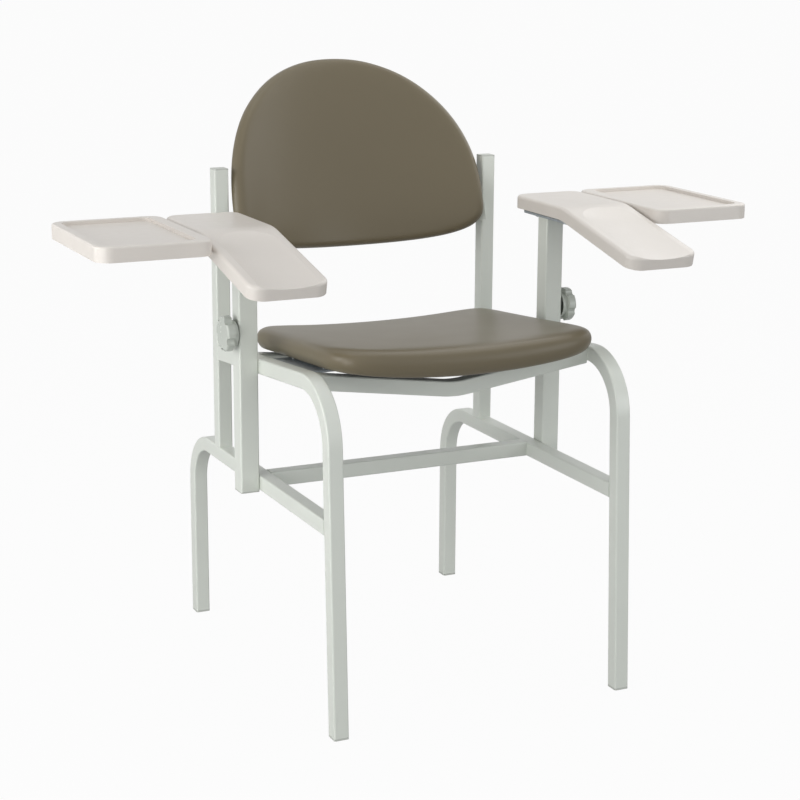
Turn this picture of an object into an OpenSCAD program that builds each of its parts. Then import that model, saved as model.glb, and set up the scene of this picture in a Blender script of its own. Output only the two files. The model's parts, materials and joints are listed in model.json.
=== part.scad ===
// Phlebotomy chair: square tube frame, contoured seat and back, and two height
// adjustable arms, each with a drop-front pad and a fold-down side tray.
// Origin at the middle of the footprint on the floor, sitter faces -Y, +Z up.

/* [Frame] */
// Width over the legs
frame_width = 467.5; // [440:0.5:520]
// Depth from the front feet to the back of the rear legs
frame_depth = 587; // [560:1:640]
// Outside size of the frame's square tube
tube = 22.2; // [20:0.1:25.4]
// Wall of the frame's tube
tube_wall = 1.6; // [1.2:0.1:2]
// Outside corner radius of the frame's tube
tube_corner = 2.6; // [2.2:0.1:4]
// Forward rake of the front legs, degrees
leg_rake = 2.6; // [0:0.1:5]
// Fall of the seat rails towards the back, degrees
rail_slope = 4.9; // [2:0.1:7]
// Height of the seat rail's top face above the front feet
rail_height = 503.5; // [480:0.5:530]
// Outside radius of the bend between front leg and seat rail
front_bend = 90; // [70:1:110]
// Outside radius of the bend between rear leg and stretcher
rear_bend = 83; // [65:1:100]
// Height of the top face of the stretchers
stretcher_height = 306.5; // [290:0.5:330]
// Distance of the back uprights behind the front feet
upright_setback = 445; // [420:1:460]
// Height of the top of the back uprights
upright_height = 732; // [700:0.5:760]
// Distance of the cross stretcher behind the front feet
cross_setback = 282.5; // [250:0.5:320]

/* [Seat rails] */
// Distance of the front cross rail behind the front feet
front_rail_setback = 107; // [98:1:120]
// Drop of the front cross rail at its middle
front_rail_dip = 30; // [26:0.5:36]
// Distance of the rear cross rail behind the front feet
rear_rail_setback = 352; // [330:1:360]
// Drop of the rear cross rail at its middle
rear_rail_dip = 22; // [20:0.5:30]
// Inside radius of the bend at the middle of a cross rail
dip_bend = 120; // [80:5:160]

/* [Seat] */
// Distance of the seat's front edge behind the front feet
seat_front = 32; // [20:1:45]
// Distance of the seat's rear edge behind the front feet
seat_rear = 409.5; // [395:0.5:420]
// Width of the seat at its front
seat_front_width = 414.5; // [404:0.5:430]
// Width of the seat at its rear
seat_rear_width = 395.5; // [375:0.5:410]
// How far the front corners sit behind the middle of the front edge
seat_bow = 10; // [4:1:25]
// Thickness of the seat at its sides
seat_thickness = 30.5; // [26:0.5:40]
// Thickness of the seat board
seat_board_thickness = 10; // [8:1:12]
// Hollow of the seat's underside across its width
seat_sag = 19; // [15:0.5:22]
// Hollow of the seat's top across its width
seat_dish = 9.5; // [4:0.5:14]

/* [Back] */
// Width across the back's outline before it is bent
back_width = 423; // [405:1:424]
// Height of the back's widest place above the floor
back_height = 653; // [630:1:680]
// Rise of the back above its widest place
back_rise = 232; // [200:1:250]
// Fall of the back below its widest place
back_fall = 61.5; // [55:0.5:80]
// Radius that the back is bent to around the sitter
back_radius = 350.5; // [330:0.5:380]
// Distance of the back's rear face, at its middle, behind the front feet
back_setback = 509; // [500:1:515]
// Lean of the back, degrees
back_lean = 15.7; // [12:0.1:18]
// Thickness of the padded back
back_thickness = 24; // [20:1:30]
// Thickness of the board in the back
back_board_thickness = 6; // [4:0.5:8]

/* [Arms] */
// Outside size of the arm sleeve's square tube
sleeve = 28.6; // [28:0.1:31]
// Distance of the sleeve behind the front feet
sleeve_setback = 273.5; // [250:0.5:290]
// Height of the bottom of the sleeve
sleeve_bottom = 282.5; // [275:0.5:284]
// Height of the top of the arm's steel plate at its lowest setting
plate_height = 658.5; // [640:0.5:680]
// Thickness of the arm's steel plate
plate_thickness = 3.5; // [3:0.5:6]
// Outside size of the tube that slides in the sleeve
post = 22.2; // [20:0.1:22.6]
// Length of the sliding tube
post_length = 355; // [300:1:358]
// Gap all round between the sliding tube and the sleeve
post_gap = 0.25; // [0.2:0.05:0.4]

/* [Arm pad] */
// Width of the arm pad
pad_width = 113; // [106:1:130]
// Distance of the pad's inner edge from the middle of the chair
pad_inner = 227; // [225:0.5:228]
// Distance of the pad's front end behind the front feet
pad_front = 17; // [8:0.5:50]
// Distance of the pad's bend behind the front feet
pad_bend = 218.5; // [200:0.5:222]
// Distance of the pad's rear end behind the front feet
pad_rear = 372.5; // [368:0.5:390]
// Slope of the pad's front part, degrees
pad_slope = 12.7; // [8:0.1:16]
// Height of the pad's edge
pad_edge = 19.5; // [16:0.5:24]
// Depth of the dish in the pad's front part
pad_dish = 5; // [3:0.5:7]

/* [Tray] */
// Width of the tray
tray_width = 162; // [130:1:200]
// Distance of the tray's front edge behind the front feet
tray_front = 136.5; // [110:0.5:155]
// Length of the tray
tray_length = 241.5; // [232:0.5:280]
// Height of the tray's edge
tray_edge = 21.5; // [18:0.5:26]
// Depth of the tray's recess
tray_recess = 5; // [3:0.5:6]
// Gap between the arm pad and the tray
tray_gap = 3.5; // [3:0.1:8]

/* [Clamp knob] */
// Height of the knob's axis
knob_height = 518.5; // [505:0.5:560]
// Diameter of the knob's head
knob_diameter = 51; // [46:1:58]
// Thickness of the knob's notched head
knob_head = 11.5; // [9:0.5:15]
// Diameter of the clamp screw
screw_diameter = 8; // [6:1:10]

/* [Hidden] */
$fn = 48;

// The sitter's left is +X
left = 1;
right = -1;
y0 = -frame_depth / 2;
// How far a cutting shape runs past what it cuts
overrun = 5;
// How many degrees a swept shape runs past where it is cut
turn_past = 4;
// How far a bend is thinner than the straight on each face, and how many degrees it laps
bend_thin = 0.05;
bend_lap = 0.5;
// Gap left between pieces that rest on each other with a curved face
seat_gap = 0.3;
// Share of a tube's wall that its inside corner is tighter by
bore_share = 0.8;

frame_paint = [0.80, 0.82, 0.78];
upholstery = [0.44, 0.41, 0.35];
arm_plastic = [0.86, 0.83, 0.80];
steel = [0.62, 0.65, 0.67];
board_black = [0.12, 0.12, 0.12];
plug_grey = [0.70, 0.72, 0.69];

// Frame, worked out from the driving sizes
side_x = frame_width / 2 - tube;
bend_turn = 90 - leg_rake + rail_slope;
corner_y = rail_height * tan(leg_rake) / (1 + tan(leg_rake) * tan(rail_slope));
corner_z = rail_height - corner_y * tan(rail_slope);
bend_reach = front_bend * tan(bend_turn / 2);
leg_length = corner_z / cos(leg_rake) - bend_reach;
bend_y = leg_length * sin(leg_rake) + front_bend * cos(leg_rake);
bend_z = leg_length * cos(leg_rake) - front_bend * sin(leg_rake);
rail_y = corner_y + bend_reach * cos(rail_slope);
rail_z = corner_z - bend_reach * sin(rail_slope);
foot_lip = 3;
foot_plug = 14;
cap_lip = 1.6;
cap_plug = 12;
plug_gap = 0.1;
rail_drop = 4;

// Seat plates, welded inside the side rails
seat_plate_front = 132;
seat_plate_length = 150;
seat_plate_width = 40;
seat_plate_thickness = 3;
seat_screw_r = 2.5;
seat_screw_inset = 12;
seat_screw_end = 18;
seat_lift = 4;
seat_board_inset = 12;

// Back
back_board_inset = 12;
strap_thickness = 4;
strap_width = 28;
strap_top = -12;
strap_tab = 3;
strap_weld = 16;
strap_set = 2.5;
back_screw_r = 2.2;
// How far a screw bites into a board
bite_share = 0.75;
back_screw_angles = [-26, -12, 12, 26];

// Arms, for the sitter's left
sleeve_wall = (sleeve - post) / 2 - post_gap;
sleeve_x = frame_width / 2;
post_x = sleeve_x + (sleeve - post) / 2;
post_y = sleeve_setback + (sleeve - post) / 2;
arm_stop_gap = 0.5;
plate_bottom = plate_height - plate_thickness;
sleeve_top = plate_bottom - arm_stop_gap;
sleeve_lip = 2;
sleeve_plug_depth = 12;
plate_width = 50.8;
plate_length = 152;
plate_corner = 12;
plate_inset = 2.25;
plate_front_share = 0.584;
plate_x = sleeve_x - plate_inset;
plate_y = sleeve_setback + sleeve / 2 - plate_front_share * plate_length;
slot_width = 8.6;
slot_length = 36;
slot_inset = 12;
slot_end = 7;
slot_screw_end = 35;
washer_r = 7.5;
washer_h = 1.2;
arm_screw_r = 2.5;
arm_screw_gap = 0.05;
arm_hole_gap = 0.3;
arm_head_r = 4.8;
arm_head_h = 2.6;
arm_screw_bite = 12;

// Arm pad
pad_stand = 2;
pad_top = plate_height + pad_edge + pad_stand;
pad_corner = 22;
pad_round = 5;
pad_wall = 3;
pad_skin = 4;
pad_bend_r = 120;
pad_bend_reach = pad_bend_r * tan(pad_slope / 2);
pad_boss_r = 5.5;
dish_r = 190;
dish_length_share = 0.8;
pad_rear_straight = pad_rear - pad_corner - pad_bend - pad_bend_reach;
pad_front_straight = (pad_bend - pad_front) / cos(pad_slope) - pad_bend_reach - pad_corner;

// Hinge between pad and tray
leaf_thickness = 2;
leaf_length = 124;
leaf_end = 7;
leaf_clear = 7;
leaf_y = pad_rear - leaf_length - leaf_end;
knuckle_r = 4;
knuckle_count = 5;
knuckle_gap = 0.3;
pin_r = 2.4;
pin_gap = 0.05;
pin_head_r = 3.6;
pin_head_h = 1.5;
hinge_x = pad_inner + pad_width + tray_gap / 2;
hinge_z = plate_height - knuckle_r;
leaf_width = hinge_x - plate_x - plate_width - leaf_clear;
leaf_hole_end = 14;
leaf_hole_inset = 12;

// Tray
tray_x = pad_inner + pad_width + tray_gap;
tray_corner = 22;
tray_round = 3.2;
tray_wall = 3;
tray_skin = 3.5;
tray_rim = 13;
tray_hinge_rim = 20;
tray_recess_corner = 14;
tray_boss_r = 5;

// Clamp
nut_r = 8;
nut_height = 6;
nut_gap = 0.05;
knob_skirt_r = 18.5;
knob_skirt_wall = 1.6;
knob_skirt_height = 7;
knob_clear = 2;
knob_hub_r = 8.5;
knob_notches = 5;
knob_notch_r = 6;
knob_notch_out = 1;
knob_crown = 3;
knob_hub_clear = 0.6;
knob_web = 4;
screw_depth = 9;
tip_r = 3.6;
tip_height = 2;
tip_gap = 0.05;
knob_y = sleeve_setback + sleeve / 2;
knob_x = sleeve_x + sleeve;
tip_reach = sleeve_wall + post_gap - tip_gap;

// Small helpers

module on_side(side) {
    if (side < 0) mirror([1, 0, 0]) children();
    else children();
}

module rounded_square(w, h, r) {
    translate([r, 0]) square([w - 2 * r, h]);
    translate([0, r]) square([w, h - 2 * r]);
    for (x = [r, w - r], y = [r, h - r]) translate([x, y]) circle(r);
}

module tube_section(size, wall) {
    difference() {
        rounded_square(size, size, tube_corner);
        translate([wall, wall])
            rounded_square(size - 2 * wall, size - 2 * wall, tube_corner - wall * bore_share);
    }
}

module frame_section() {
    tube_section(tube, tube_wall);
}

// A bent length of frame tube round the z axis, a hair thinner all over than the straight
// tube and lapping into it at both ends
module tube_bend(inside_r, turn) {
    rotate([0, 0, -bend_lap]) rotate_extrude(angle = turn + 2 * bend_lap)
        translate([inside_r + bend_thin, bend_thin])
            tube_section(tube - 2 * bend_thin, tube_wall - 2 * bend_thin);
}

// Turns a section's x to +Z and its y to +X, and extrudes it along +Y
module along_y() {
    rotate([-90, 0, 0]) rotate([0, 0, -90]) children();
}

// Frame tubes

module front_leg(side) {
    color(frame_paint) on_side(side) translate([side_x, y0, 0]) difference() {
        union() {
            rotate([-leg_rake, 0, 0]) translate([0, 0, -overrun])
                linear_extrude(leg_length + overrun) frame_section();
            translate([0, bend_y, bend_z]) rotate([0, 90, 0]) rotate([0, 0, 180 - rail_slope])
                tube_bend(front_bend - tube, bend_turn);
            translate([0, rail_y, rail_z]) rotate([-90 - rail_slope, 0, 0])
                linear_extrude((upright_setback - rail_y) / cos(rail_slope) + overrun) frame_section();
        }
        translate([-overrun, -frame_depth / 2, foot_lip - frame_depth])
            cube([tube + 2 * overrun, frame_depth, frame_depth]);
        translate([-overrun, upright_setback, 0])
            cube([tube + 2 * overrun, frame_depth, rail_height + overrun]);
    }
}

module rear_leg(side) {
    straight = stretcher_height - rear_bend;
    color(frame_paint) on_side(side) translate([side_x, y0, 0]) difference() {
        union() {
            translate([0, frame_depth - tube, foot_lip])
                linear_extrude(straight - foot_lip) frame_section();
            translate([0, frame_depth - rear_bend, straight]) rotate([0, 90, 0]) rotate([0, 0, 90])
                tube_bend(rear_bend - tube, 90);
            translate([0, frame_depth - rear_bend, stretcher_height - tube]) rotate([90, 0, 0])
                linear_extrude(frame_depth - rear_bend) frame_section();
        }
        rotate([-leg_rake, 0, 0]) translate([-overrun, tube - frame_depth, 0])
            cube([tube + 2 * overrun, frame_depth, rail_height]);
    }
}

module back_upright(side) {
    color(frame_paint) on_side(side) translate([side_x, y0 + upright_setback, stretcher_height])
        linear_extrude(upright_height - cap_lip - stretcher_height) frame_section();
}

// A moulded plug: a lip that covers the tube's end, and a part that sits in its bore
module tube_plug(size, wall, lip, depth) {
    inner = size - 2 * wall - 2 * plug_gap;
    linear_extrude(lip) rounded_square(size, size, tube_corner);
    translate([wall + plug_gap, wall + plug_gap, lip])
        linear_extrude(depth) rounded_square(inner, inner, tube_corner - wall * bore_share);
}

module upright_cap(side) {
    color(plug_grey) on_side(side) translate([side_x, y0 + upright_setback + tube, upright_height])
        rotate([180, 0, 0]) tube_plug(tube, tube_wall, cap_lip, cap_plug);
}

module rear_foot(side) {
    color(board_black) on_side(side) translate([side_x, y0 + frame_depth - tube, 0])
        tube_plug(tube, tube_wall, foot_lip, foot_plug);
}

module front_foot(side) {
    inner = tube - 2 * tube_wall - 2 * plug_gap;
    color(board_black) on_side(side) translate([side_x, y0, 0]) difference() {
        union() {
            intersection() {
                rotate([-leg_rake, 0, 0]) translate([0, 0, -overrun])
                    linear_extrude(foot_plug) rounded_square(tube, tube, tube_corner);
                translate([-overrun, -overrun, 0])
                    cube([tube + 2 * overrun, tube + 2 * overrun, foot_lip]);
            }
            rotate([-leg_rake, 0, 0]) translate([tube_wall + plug_gap, tube_wall + plug_gap, -overrun])
                linear_extrude(foot_plug + foot_lip + overrun)
                    rounded_square(inner, inner, tube_corner - tube_wall * bore_share);
        }
        translate([-overrun, -overrun, -2 * overrun])
            cube([tube + 2 * overrun, tube + 2 * overrun, 2 * overrun]);
    }
}

module cross_stretcher() {
    color(frame_paint) translate([-side_x, y0 + cross_setback, stretcher_height - tube])
        rotate([90, 0, 90]) linear_extrude(2 * side_x) frame_section();
}

// Height of the side rail's top face at a distance behind the front feet
function rail_top(y) = rail_height - y * tan(rail_slope);

// A cross rail that is bent down at its middle to clear the hollow seat
module dipped_rail(setback, dip) {
    grade = atan(dip / side_x);
    end_z = rail_top(setback) - rail_drop;
    vertex_z = end_z - dip;
    color(frame_paint) translate([0, y0 + setback, vertex_z]) difference() {
        translate([0, tube, dip_bend / cos(grade)]) rotate([90, 0, 0]) {
            rotate([0, 0, 270 - grade]) tube_bend(dip_bend, 2 * grade);
            for (side = [left, right]) on_side(side) rotate([0, 0, 270 - grade])
                translate([dip_bend, 0, 0]) rotate([90, 0, 0])
                    linear_extrude(side_x / cos(grade)) frame_section();
        }
        for (side = [left, right]) on_side(side) translate([side_x, -overrun, -2 * tube])
            cube([2 * side_x, tube + 2 * overrun, dip + 4 * tube]);
    }
}

// Seat

seat_middle = (seat_front + seat_rear) / 2;
seat_half = (seat_rear - seat_front) / 2;
seat_front_share = 7.5;
seat_rear_share = 12;
seat_points = 60;
// How many degrees the outline's points are moved towards its corners
seat_crowding = 6.9;

// Outline of the seat seen from above, as [x, distance behind the front feet]
function seat_edge(a) =
    let (t = a + seat_crowding * sin(4 * a),
         n = sin(t) > 0 ? seat_rear_share : seat_front_share,
         r = 1 / pow(pow(abs(cos(t)), n) + pow(abs(sin(t)), n), 1 / n),
         sx = r * cos(t),
         sy = r * sin(t),
         half = (seat_front_width * (1 - sy) + seat_rear_width * (1 + sy)) / 4)
    [half * sx, seat_middle + seat_half * sy + seat_bow * sx * sx * max(0, -sy)];

// Height of a point of the seat: w is its height over the rails at the seat's sides
function seat_z(x, y, w) =
    let (across = min(1, pow(2 * x / seat_front_width, 2)),
         share = min(1, max(0, (w - seat_lift) / seat_thickness)))
    rail_top(y) + w - (seat_sag + (seat_dish - seat_sag) * share) * (1 - across);

// A point of a form's ring: the outline point p drawn in by inset towards the middle c
function drawn_in(p, c, inset) = c + (p - c) * (1 - inset / norm(p - c));
function shrunk(p, c, share) = c + (p - c) * share;

// Closes rings of equal length, and the middle points of the first and the last, into one solid;
// a form that lies inside another is cut along the other diagonal, so that their faces keep
// their distance
module ring_solid(rings, first_middle, last_middle, inside = false) {
    n = len(rings[0]);
    last = len(rings) - 1;
    points = concat([for (ring = rings, p = ring) p], [first_middle, last_middle]);
    sides = [for (k = [0 : last - 1], i = [0 : n - 1])
        let (j = (i + 1) % n, a = k * n + i, b = (k + 1) * n + i, c = (k + 1) * n + j, d = k * n + j)
        each inside ? [[a, b, d], [b, c, d]] : [[a, b, c], [a, c, d]]];
    ends = [for (i = [0 : n - 1])
        let (j = (i + 1) % n)
        each [[n * (last + 1), i, j], [n * (last + 1) + 1, last * n + j, last * n + i]]];
    polyhedron(points = points, faces = concat(sides, ends), convexity = 6);
}

function seat_ring(inset, w) = [for (i = [0 : seat_points - 1])
    let (p = drawn_in(seat_edge(360 * i / seat_points), [0, seat_middle], inset))
    [p[0], y0 + p[1], seat_z(p[0], p[1], w)]];
function seat_inner_ring(share, w) = [for (i = [0 : seat_points - 1])
    let (p = shrunk(seat_edge(360 * i / seat_points), [0, seat_middle], share))
    [p[0], y0 + p[1], seat_z(p[0], p[1], w)]];
function seat_middle_point(w) = [0, y0 + seat_middle, seat_z(0, seat_middle, w)];

// Rings of the seat cushion from under its rim, out round its side, to its crown
seat_recess = seat_lift + seat_board_thickness + seat_gap;
seat_top = seat_lift + seat_thickness;
seat_rise_shares = [0, 0.12, 0.26, 0.42, 0.56, 0.70, 0.82, 0.91, 0.97, 1];
seat_bulge_shares = [0.40, 0.22, 0.09, 0.03, 0.03, 0.10, 0.24, 0.44, 0.70, 1];
seat_roll = 22;
// Shares at which the inner rings of a cushion's crown sit, and those of the board under it
crown_shares = [0.74, 0.48, 0.22];
seat_board_shares = [0.25, 0.5, 0.75];

module seat_cushion() {
    inset = seat_board_inset - seat_gap;
    under = [for (share = seat_board_shares) seat_inner_ring(share, seat_recess)];
    side = [for (k = [0 : len(seat_rise_shares) - 1])
        seat_ring(seat_roll * seat_bulge_shares[k], seat_lift + seat_thickness * seat_rise_shares[k])];
    crown = [for (k = [0 : 2]) seat_inner_ring(crown_shares[k], seat_top + (1 - 2 * k) * seat_gap)];
    color(upholstery) ring_solid(
        concat(under, [seat_ring(inset, seat_recess), seat_ring(inset, seat_lift)], side, crown),
        seat_middle_point(seat_recess), seat_middle_point(seat_top - 4 * seat_gap));
}

module seat_board() {
    top = seat_lift + seat_board_thickness;
    last = len(seat_board_shares) - 1;
    under = [for (share = seat_board_shares) seat_inner_ring(share, seat_lift)];
    over = [for (k = [0 : last]) seat_inner_ring(seat_board_shares[last - k], top)];
    color(board_black) ring_solid(
        concat(under, [seat_ring(seat_board_inset, seat_lift), seat_ring(seat_board_inset, top)], over),
        seat_middle_point(seat_lift), seat_middle_point(top), inside = true);
}

// Top of the seat plates above the rails, just under the board's edge
seat_plate_x = side_x - seat_plate_width;
seat_plate_lift = seat_z(seat_plate_x, 0, seat_lift) - rail_top(0) - seat_gap;
// Height of the board's underside over the plate's top at the screws
seat_screw_x = seat_plate_x + seat_screw_inset;
seat_screw_rise = seat_z(seat_screw_x, 0, seat_lift) - rail_top(0) - seat_plate_lift;

module at_seat_rail() {
    translate([0, y0 + seat_plate_front, rail_top(seat_plate_front) + seat_plate_lift])
        rotate([-rail_slope, 0, 0]) children();
}

module seat_plate(side) {
    color(frame_paint) on_side(side) at_seat_rail() difference() {
        translate([seat_plate_x, 0, -seat_plate_thickness])
            cube([seat_plate_width, seat_plate_length, seat_plate_thickness]);
        for (y = [seat_screw_end, seat_plate_length - seat_screw_end])
            translate([seat_screw_x, y, -seat_plate_thickness - overrun])
                cylinder(r = seat_screw_r + arm_hole_gap, h = seat_plate_thickness + 2 * overrun);
    }
}

// A pan head screw that points up, with its seat at z = 0
pan_share = 0.4;

module pan_screw(r, head_r, head_h, length) {
    edge = head_h * pan_share;
    translate([0, 0, -head_h]) rotate_extrude() {
        translate([0, edge]) square([head_r, head_h - edge]);
        square([head_r - edge, 2 * edge]);
    }
    translate([0, 0, -head_h / 2]) cylinder(r = r, h = length + head_h / 2);
}

module seat_screws() {
    reach = seat_plate_thickness + seat_screw_rise + seat_board_thickness * bite_share;
    color(steel) for (side = [left, right]) on_side(side) at_seat_rail()
        for (y = [seat_screw_end, seat_plate_length - seat_screw_end])
            translate([seat_screw_x, y, -seat_plate_thickness])
                pan_screw(seat_screw_r, arm_head_r, arm_head_h, reach);
}

// Back

back_points = 56;
back_centre_share = 0.2;
back_upper_share = 2.13;
back_lower_share = 4.5;
back_roll = 7;
back_lip = 4.8;

// Outline of the back as [x, height over its widest place], along the leaning back
function back_edge(t) =
    let (upper = sin(t) > 0,
         n = upper ? back_upper_share : back_lower_share,
         tall = upper ? back_rise : back_fall,
         r = 1 / pow(pow(abs(cos(t)), n) + pow(abs(sin(t)), n), 1 / n))
    [back_width / 2 * r * cos(t), tall * r * sin(t)];

// Bends the flat outline to the back's radius: w is the distance in front of the rear face
function back_bent(p, w) =
    let (share = p[0] / back_radius, r = back_radius - w)
    [r * share, r * sqrt(1 - share * share) - back_radius, p[1]];
back_centre = [0, back_rise * back_centre_share];
function back_ring(inset, w) = [for (i = [0 : back_points - 1])
    back_bent(drawn_in(back_edge(360 * i / back_points), back_centre, inset), w)];
function back_inner_ring(share, w) = [for (i = [0 : back_points - 1])
    back_bent(shrunk(back_edge(360 * i / back_points), back_centre, share), w)];
back_board_shares = [0.14, 0.28, 0.42, 0.56, 0.7, 0.84];

// Places the back's own frame, whose origin is on the rear face at the widest place
module at_back() {
    translate([0, y0 + back_setback, back_height]) rotate([-back_lean, 0, 0]) children();
}

back_recess = back_board_thickness + seat_gap;
back_rise_shares = [0.1, 0.4, 0.7, 0.92, 1];
back_bulge_shares = [0.45, 0, 0.25, 1, 2.4];

module back_cushion() {
    inset = back_board_inset - seat_gap;
    under = [for (share = back_board_shares) back_inner_ring(share, back_recess)];
    side = [for (k = [0 : len(back_rise_shares) - 1])
        back_ring(back_roll * back_bulge_shares[k], back_thickness * back_rise_shares[k])];
    crown = [for (k = [0 : 2]) back_inner_ring(crown_shares[k], back_thickness + min(k + 1, 2) * seat_gap)];
    color(upholstery) at_back() ring_solid(
        concat(under, [back_ring(inset, back_recess), back_ring(inset, 0), back_ring(inset - back_lip, 0)],
            side, crown),
        back_bent(back_centre, back_recess), back_bent(back_centre, back_thickness + 2 * seat_gap));
}

module back_board() {
    last = len(back_board_shares) - 1;
    under = [for (share = back_board_shares) back_inner_ring(share, 0)];
    over = [for (k = [0 : last]) back_inner_ring(back_board_shares[last - k], back_board_thickness)];
    color(board_black) at_back() ring_solid(
        concat(under, [back_ring(back_board_inset, 0), back_ring(back_board_inset, back_board_thickness)],
            over),
        back_bent(back_centre, 0), back_bent(back_centre, back_board_thickness), inside = true);
}

strap_r = back_radius + seat_gap;
strap_half = asin(side_x / (strap_r + strap_thickness));
// The strap's end, measured from the bend's axis, and how far its tab reaches to the upright
strap_end = strap_r * cos(strap_half);
strap_end_y = back_setback + (strap_end - back_radius) * cos(back_lean)
    + (strap_top - strap_width / 2) * sin(back_lean);
strap_reach = (upright_setback + strap_weld - strap_end_y) / cos(back_lean);

// Places the strap's own frame: the axis of the back's bend, at the strap's lower edge
module at_strap() {
    at_back() translate([0, -back_radius, strap_top - strap_width]) children();
}

// A flat steel strap bent round behind the back, with a welded tab at each upright
module back_strap() {
    swing = strap_half + turn_past;
    color(frame_paint) at_strap() difference() {
        union() {
            intersection() {
                rotate([0, 0, 90 - swing]) rotate_extrude(angle = 2 * swing)
                    translate([strap_r, 0]) square([strap_thickness, strap_width]);
                translate([-side_x, 0, -overrun])
                    cube([2 * side_x, 2 * strap_r, strap_width + 2 * overrun]);
            }
            for (side = [left, right]) on_side(side)
                translate([side_x - strap_tab, strap_end + strap_set, strap_set])
                    cube([strap_tab, strap_reach - strap_set, strap_width - 2 * strap_set]);
        }
        for (a = back_screw_angles) rotate([0, 0, a])
            translate([0, strap_r - overrun, strap_width / 2]) rotate([-90, 0, 0])
                cylinder(r = back_screw_r + arm_hole_gap, h = strap_thickness + 2 * overrun);
    }
}

module back_screws() {
    reach = strap_thickness + seat_gap + back_board_thickness * bite_share;
    color(steel) for (a = back_screw_angles) at_strap() rotate([0, 0, a])
        translate([0, strap_r + strap_thickness, strap_width / 2]) rotate([90, 0, 0])
            pan_screw(back_screw_r, arm_head_r, arm_head_h, reach);
}

// Arms

module arm_sleeve(side) {
    color(frame_paint) on_side(side) difference() {
        translate([sleeve_x, y0 + sleeve_setback, sleeve_bottom + sleeve_lip])
            linear_extrude(sleeve_top - sleeve_bottom - sleeve_lip) tube_section(sleeve, sleeve_wall);
        translate([sleeve_x + sleeve / 2, y0 + knob_y, knob_height]) rotate([0, 90, 0])
            cylinder(r = screw_diameter / 2 + arm_hole_gap, h = sleeve);
    }
}

module sleeve_plug(side) {
    color(plug_grey) on_side(side) translate([sleeve_x, y0 + sleeve_setback, sleeve_bottom])
        tube_plug(sleeve, sleeve_wall, sleeve_lip, sleeve_plug_depth);
}

module arm_post(side) {
    color(frame_paint) on_side(side) translate([post_x, y0 + post_y, plate_bottom - post_length])
        linear_extrude(post_length) tube_section(post, tube_wall);
}

// The four screw places of the arm's plate, as [x, y]
plate_rows = [slot_inset, plate_width - slot_inset];
plate_holes = [for (x = plate_rows, y = [slot_screw_end, plate_length - slot_screw_end])
    [plate_x + x, plate_y + y]];
// The screw places of the pad's hinge leaf and of the tray's
leaf_rows = [leaf_hole_end, leaf_length / 2, leaf_length - leaf_hole_end];
pad_leaf_holes = [for (y = leaf_rows) [hinge_x - leaf_width + leaf_hole_inset, leaf_y + y]];
tray_leaf_holes = [for (y = leaf_rows) [hinge_x + leaf_width - leaf_hole_inset, leaf_y + y]];

module arm_plate(side) {
    color(steel) on_side(side) translate([plate_x, y0 + plate_y, plate_bottom]) difference() {
        linear_extrude(plate_thickness) rounded_square(plate_width, plate_length, plate_corner);
        for (x = plate_rows, y = [slot_end, plate_length - slot_end - slot_length])
            translate([x - slot_width / 2, y, -overrun])
                linear_extrude(plate_thickness + 2 * overrun) slot_hole(slot_width, slot_length);
    }
}

module slot_hole(w, l) {
    translate([0, w / 2]) square([w, l - w]);
    for (y = [w / 2, l - w / 2]) translate([w / 2, y]) circle(w / 2);
}

// Section of a moulding's edge: flat bottom, outer top corner rounded, r wide from its axis
module edge_section(r, h, e) {
    square([r, h - e]);
    square([r - e, h]);
    translate([r - e, h - e]) circle(e);
}

// Section across a moulding, with x as height and y as width, top corners rounded
module moulding_section(w, h, e) {
    square([h - e, w]);
    translate([0, e]) square([h, w - 2 * e]);
    for (y = [e, w - e]) translate([h - e, y]) circle(e);
}

// The end of a moulding: two rounded corners and the edge between them, from y = 0 to y = r
module moulding_end(w, h, r, e) {
    for (x = [r, w - r]) translate([x, 0, 0]) rotate([0, 0, x > w / 2 ? 0 : 90])
        rotate_extrude(angle = 90) edge_section(r, h, e);
    translate([r, 0, 0]) rotate([90, 0, 90]) linear_extrude(w - 2 * r) edge_section(r, h, e);
}

// One arm of a moulding: a straight length from y = -l to y = 0, then its rounded end
module moulding_arm(w, l, h, r, e) {
    translate([0, -l, 0]) along_y() linear_extrude(l) moulding_section(w, h, e);
    moulding_end(w, h, r, e);
}

// A flat moulding with rounded corners and a rounded top edge, from y = 0 to y = l
module flat_moulding(w, l, h, r, e) {
    translate([0, l - r, 0]) moulding_arm(w, l - 2 * r, h, r, e);
    translate([0, r, 0]) mirror([0, 1, 0]) moulding_end(w, h, r, e);
}

// The pad's body: flat rear part, bend and sloping front part; cut draws every wall in,
// and the skins are what is left over it at the rear and at the front
module pad_body(cut, rear_skin, front_skin, e) {
    w = pad_width - 2 * cut;
    r = pad_corner - cut;
    down = cut > 0 ? overrun : 0;
    base = pad_bend_r - pad_edge - down;
    translate([pad_inner + cut, pad_rear - pad_corner, pad_top - pad_edge - down])
        moulding_arm(w, pad_rear_straight, pad_edge + down - rear_skin, r, e);
    translate([pad_inner + cut, pad_bend + pad_bend_reach, pad_top - pad_bend_r]) {
        rotate([0, 90, 0]) rotate([0, 0, 180 - bend_lap]) rotate_extrude(angle = pad_slope + 2 * bend_lap)
            translate([base + bend_thin, bend_thin]) moulding_section(
                w - 2 * bend_thin, pad_edge + down - front_skin - 2 * bend_thin, e);
        rotate([pad_slope, 0, 0]) translate([0, -pad_front_straight, base]) mirror([0, 1, 0])
            moulding_arm(w, pad_front_straight, pad_edge + down - front_skin, r, e);
    }
}

// Section of the scoop that is sunk in the pad's front part, from its axis outwards
module scoop_section(length) {
    square([dish_r, length]);
    intersection() {
        circle(dish_r);
        translate([0, -dish_r]) square([dish_r, dish_r]);
    }
}

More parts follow.
